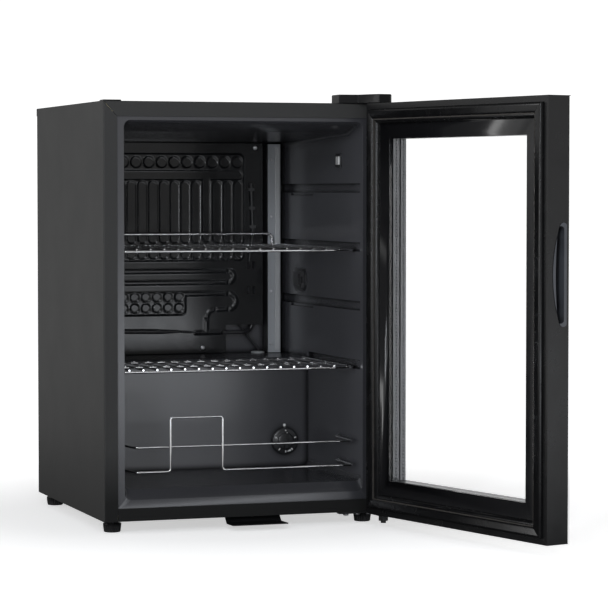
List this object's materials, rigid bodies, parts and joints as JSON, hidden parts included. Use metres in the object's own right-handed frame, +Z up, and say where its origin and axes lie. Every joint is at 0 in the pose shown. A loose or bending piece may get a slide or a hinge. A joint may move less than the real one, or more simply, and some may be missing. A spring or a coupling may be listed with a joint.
{
  "type": "glass door merchandiser",
  "caption": "Compact glass-door drinks cooler with an open hinged door, wire shelves, a bottle guard and a rear cooling circuit.",
  "frame": {"origin": "centre of the four feet, on the floor", "axes": "+X to the right seen from the front, +Y towards the back, +Z up"},
  "size_m": [0.5361, 0.8708, 0.6408],
  "materials": {
    "painted_shell": "satin",
    "hinge_steel": "satin",
    "galvanised_sheet": "satin",
    "foam": "matte",
    "liner_plastic": "satin",
    "evaporator_coating": "semi-gloss",
    "spacer_plastic": "matte",
    "plated_steel": "satin",
    "refrigerant_copper": "satin",
    "clip_aluminium": "satin",
    "knob_plastic": "satin",
    "control_plastic": "matte",
    "lamp_plastic": "satin",
    "lamp_diffuser": "frosted",
    "fitting_plastic": "satin",
    "rocker_plastic": "gloss",
    "chrome_wire": "polished",
    "drain_plastic": "matte",
    "black_enamel": "gloss",
    "grommet_rubber": "matte",
    "bay_plastic": "matte",
    "cord_rubber": "matte",
    "cover_plastic": "satin",
    "foot_plastic": "matte",
    "door_frame": "semi-gloss",
    "bush_plastic": "satin",
    "handle_plastic": "gloss",
    "gasket_rubber": "satin",
    "magnet_rubber": "matte",
    "bead_plastic": "satin",
    "clear_glass": "polished",
    "spacer_aluminium": "satin"
  },
  "bodies": {
    "cabinet": {"side_panel_left": "painted_shell", "side_panel_right": "painted_shell", "top_panel": "painted_shell", "bottom_front_rail": "painted_shell", "back_panel": "painted_shell", "top_hinge_bracket": "hinge_steel", "bottom_hinge_bracket": "hinge_steel", "base_panel": "galvanised_sheet", "compressor_rail": "galvanised_sheet", "condenser_brackets": "galvanised_sheet", "foam_insulation": "foam", "inner_liner": "liner_plastic", "evaporator_plate": "evaporator_coating", "evaporator_spacers": "spacer_plastic", "liner_screws": "plated_steel", "hinge_screws": "plated_steel", "hinge_pins": "plated_steel", "compressor_bolts": "plated_steel", "suction_tube": "refrigerant_copper", "capillary_tube": "refrigerant_copper", "thermostat_bulb": "refrigerant_copper", "filter_drier": "refrigerant_copper", "discharge_tube": "refrigerant_copper", "bulb_clips": "clip_aluminium", "thermostat_body": "control_plastic", "lamp_channel": "lamp_plastic", "lamp_cover": "lamp_diffuser", "sensor_housing": "fitting_plastic", "switch_frame": "fitting_plastic", "bottle_guard": "chrome_wire", "drain_funnel": "drain_plastic", "drain_hose": "drain_plastic", "compressor": "black_enamel", "condenser_tube": "black_enamel", "condenser_wires": "black_enamel", "compressor_grommets": "grommet_rubber", "relay_cover": "bay_plastic", "evaporation_tray": "bay_plastic", "power_cord": "cord_rubber", "hinge_cover": "cover_plastic", "blanking_cap": "cover_plastic", "underside_scoop": "cover_plastic", "rear_feet": "foot_plastic"},
    "door": {"door_handle_stile": "door_frame", "door_hinge_stile": "door_frame", "door_rails": "door_frame", "hinge_bushes": "bush_plastic", "handle_insert": "handle_plastic", "gasket": "gasket_rubber", "magnet_strips": "magnet_rubber", "glazing_beads": "bead_plastic", "inner_panes": "clear_glass", "outer_glass": "clear_glass", "glass_spacers": "spacer_aluminium"},
    "shelf_upper": {"upper_shelf": "chrome_wire"},
    "shelf_lower": {"lower_shelf": "chrome_wire"},
    "dial": {"thermostat_knob": "knob_plastic"},
    "switch_rocker": {"light_switch_rocker": "rocker_plastic"},
    "foot_left": {"front_left_foot": "foot_plastic"},
    "foot_right": {"front_right_foot": "foot_plastic"}
  },
  "joints": [
    {"name": "door_hinge", "type": "hinge", "parent": "cabinet", "child": "door", "pos_m": [0.2051, -0.2379, 0], "axis": [0, 0, 1], "range_deg": [-104.05, 25]},
    {"name": "upper_shelf_slide", "type": "slide", "parent": "cabinet", "child": "shelf_upper", "axis": [0, -1, 0], "range_m": [0, 0.045]},
    {"name": "lower_shelf_slide", "type": "slide", "parent": "cabinet", "child": "shelf_lower", "axis": [0, -1, 0], "range_m": [0, 0.045]},
    {"name": "thermostat_turn", "type": "hinge", "parent": "cabinet", "child": "dial", "pos_m": [0.1425, 0.0359, 0.104], "axis": [0, -1, 0], "range_deg": [-145, 145]},
    {"name": "light_switch_rock", "type": "hinge", "parent": "cabinet", "child": "switch_rocker", "pos_m": [0.1835, -0.1095, 0.544], "axis": [0, 0, 1], "range_deg": [0, 16]},
    {"name": "front_left_foot_level", "type": "slide", "parent": "cabinet", "child": "foot_left", "axis": [0, 0, -1], "range_m": [0, 0.006]},
    {"name": "front_right_foot_level", "type": "slide", "parent": "cabinet", "child": "foot_right", "axis": [0, 0, -1], "range_m": [0, 0.006]}
  ]
}
